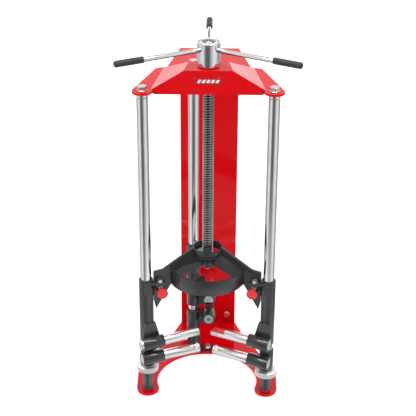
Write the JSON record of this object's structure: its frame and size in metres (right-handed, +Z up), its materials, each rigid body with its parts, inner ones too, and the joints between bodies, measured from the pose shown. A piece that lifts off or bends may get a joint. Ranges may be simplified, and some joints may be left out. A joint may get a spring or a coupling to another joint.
{
  "type": "strut spring compressor",
  "caption": "Floor-standing strut coil-spring compressor: a lead screw in a red head draws black arm carriers along chrome posts.",
  "frame": {"origin": "on the floor, in the middle of the footprint; the lead screw's axis is 108 mm in front of it", "axes": "+X to the right seen from the front, +Y from the lead screw to the column at the back, +Z up along the lead screw"},
  "size_m": [0.4592, 0.4899, 1.0205],
  "materials": {
    "red_paint": "gloss",
    "badge": "gloss",
    "chrome": "polished",
    "zinc": "bright zinc",
    "screw_steel": "oiled",
    "black_coat": "satin powder coat",
    "black_oxide": "black oxide",
    "nylon": "moulded",
    "bronze": "machined",
    "grip_rubber": "textured",
    "knob_plastic": "semi-gloss"
  },
  "bodies": {
    "frame": {"base_plate": "red_paint", "column": "red_paint", "column_bolts": "zinc", "head_plate": "red_paint", "head_roof": "red_paint", "name_badge": "badge", "post_left": "chrome", "post_right": "chrome", "post_rear": "chrome", "post_spacers": "chrome", "post_washers": "zinc", "post_bolts": "zinc", "foot_screws": "black_oxide", "stand_tube": "black_coat", "stand_bolt": "zinc", "bearing_housing": "screw_steel", "bearing_race_top": "screw_steel", "bearing_balls": "chrome", "hub_washer": "bronze"},
    "spindle": {"lead_screw": "screw_steel", "hub": "chrome", "handle_rods": "chrome", "handle_grips": "grip_rubber", "hub_set_screw": "black_oxide", "bearing_race_bottom": "screw_steel", "shaft_nut": "black_oxide", "screw_end_washer": "black_oxide", "screw_end_bolt": "zinc"},
    "carriage": {"spider_frame": "black_coat", "drive_nut": "bronze", "nut_lock_screws": "black_oxide", "upper_sleeve_left": "black_coat", "upper_sleeve_right": "black_coat", "upper_sleeve_rear": "black_coat", "upper_bushes": "nylon", "spider_bolts": "zinc", "spider_nuts": "zinc", "plunger_barrels": "black_oxide", "upper_rod_screws": "black_oxide"},
    "plunger_left": {"plunger_pin_left": "zinc", "knob_left": "knob_plastic"},
    "plunger_right": {"plunger_pin_right": "zinc", "knob_right": "knob_plastic"},
    "upper_arm_rod_left": {"upper_rod_left": "chrome"},
    "upper_arm_rod_right": {"upper_rod_right": "chrome"},
    "upper_arm_rod_rear": {"upper_rod_rear": "chrome"},
    "height_left": {"washer_left": "zinc"},
    "height_right": {"washer_right": "zinc"},
    "height_collar_left": {"collar_left": "zinc"},
    "height_collar_right": {"collar_right": "zinc"},
    "lower_arm_left": {"lower_sleeve_left": "black_coat", "lower_screw_left": "black_oxide"},
    "lower_arm_right": {"lower_sleeve_right": "black_coat", "lower_screw_right": "black_oxide"},
    "lower_arm_rear": {"lower_sleeve_rear": "black_coat", "lower_screw_rear": "black_oxide"},
    "lower_arm_rod_left": {"lower_rod_left": "chrome"},
    "lower_arm_rod_right": {"lower_rod_right": "chrome"},
    "lower_arm_rod_rear": {"lower_rod_rear": "chrome"}
  },
  "joints": [
    {"name": "spider_slide", "type": "slide", "parent": "frame", "child": "carriage", "axis": [0, 0, 1], "range_m": [0, 0.42]},
    {"name": "screw_turn", "type": "hinge", "parent": "frame", "child": "spindle", "pos_m": [0, -0.108, 0.95], "axis": [0, 0, 1], "range_deg": [-21601, 1]},
    {"name": "plunger_pull_left", "type": "slide", "parent": "carriage", "child": "plunger_left", "axis": [0.2575, -0.9663, 0], "range_m": [0, 0.008], "stiffness_N_per_m": 400, "springref_m": -0.004},
    {"name": "plunger_pull_right", "type": "slide", "parent": "carriage", "child": "plunger_right", "axis": [-0.2575, -0.9663, 0], "range_m": [0, 0.008], "stiffness_N_per_m": 400, "springref_m": -0.004},
    {"name": "upper_rod_slide_left", "type": "slide", "parent": "carriage", "child": "upper_arm_rod_left", "axis": [-0.9019, -0.4319, 0], "range_m": [0, 0.1]},
    {"name": "upper_rod_slide_right", "type": "slide", "parent": "carriage", "child": "upper_arm_rod_right", "axis": [0.9019, -0.4319, 0], "range_m": [0, 0.1]},
    {"name": "upper_rod_slide_rear", "type": "slide", "parent": "carriage", "child": "upper_arm_rod_rear", "axis": [0, -1, 0], "range_m": [0, 0.11]},
    {"name": "height_slide_left", "type": "slide", "parent": "frame", "child": "height_left", "axis": [0, 0, 1], "range_m": [-0.0525, 0.005]},
    {"name": "collar_turn_left", "type": "hinge", "parent": "height_left", "child": "height_collar_left", "pos_m": [-0.167, -0.1525, 0.08], "axis": [0, 0, 1], "range_deg": [-5401, 516]},
    {"name": "lower_swing_left", "type": "hinge", "parent": "height_left", "child": "lower_arm_left", "pos_m": [-0.167, -0.1525, 0.12], "axis": [0, 0, 1], "range_deg": [-40, 40]},
    {"name": "lower_rod_slide_left", "type": "slide", "parent": "lower_arm_left", "child": "lower_arm_rod_left", "axis": [-0.9233, -0.3841, 0], "range_m": [0, 0.1]},
    {"name": "height_slide_right", "type": "slide", "parent": "frame", "child": "height_right", "axis": [0, 0, 1], "range_m": [-0.042, 0.0175]},
    {"name": "collar_turn_right", "type": "hinge", "parent": "height_right", "child": "height_collar_right", "pos_m": [0.167, -0.1525, 0.066], "axis": [0, 0, 1], "range_deg": [-4321, 1801]},
    {"name": "lower_swing_right", "type": "hinge", "parent": "height_right", "child": "lower_arm_right", "pos_m": [0.167, -0.1525, 0.11], "axis": [0, 0, 1], "range_deg": [-40, 40]},
    {"name": "lower_rod_slide_right", "type": "slide", "parent": "lower_arm_right", "child": "lower_arm_rod_right", "axis": [0.9019, -0.4319, 0], "range_m": [0, 0.1]},
    {"name": "lower_swing_rear", "type": "hinge", "parent": "frame", "child": "lower_arm_rear", "pos_m": [-0.042, 0.059, 0.12], "axis": [0, 0, 1], "range_deg": [-25, 25]},
    {"name": "lower_rod_slide_rear", "type": "slide", "parent": "lower_arm_rear", "child": "lower_arm_rod_rear", "axis": [0, -1, 0], "range_m": [0, 0.11]}
  ],
  "couplings": [
    {"joint": "screw_turn", "follows": "spider_slide", "rad_per_m": -897.6},
    {"joint": "collar_turn_left", "follows": "height_slide_left", "rad_per_m": 1795.2},
    {"joint": "collar_turn_right", "follows": "height_slide_right", "rad_per_m": 1795.2}
  ]
}
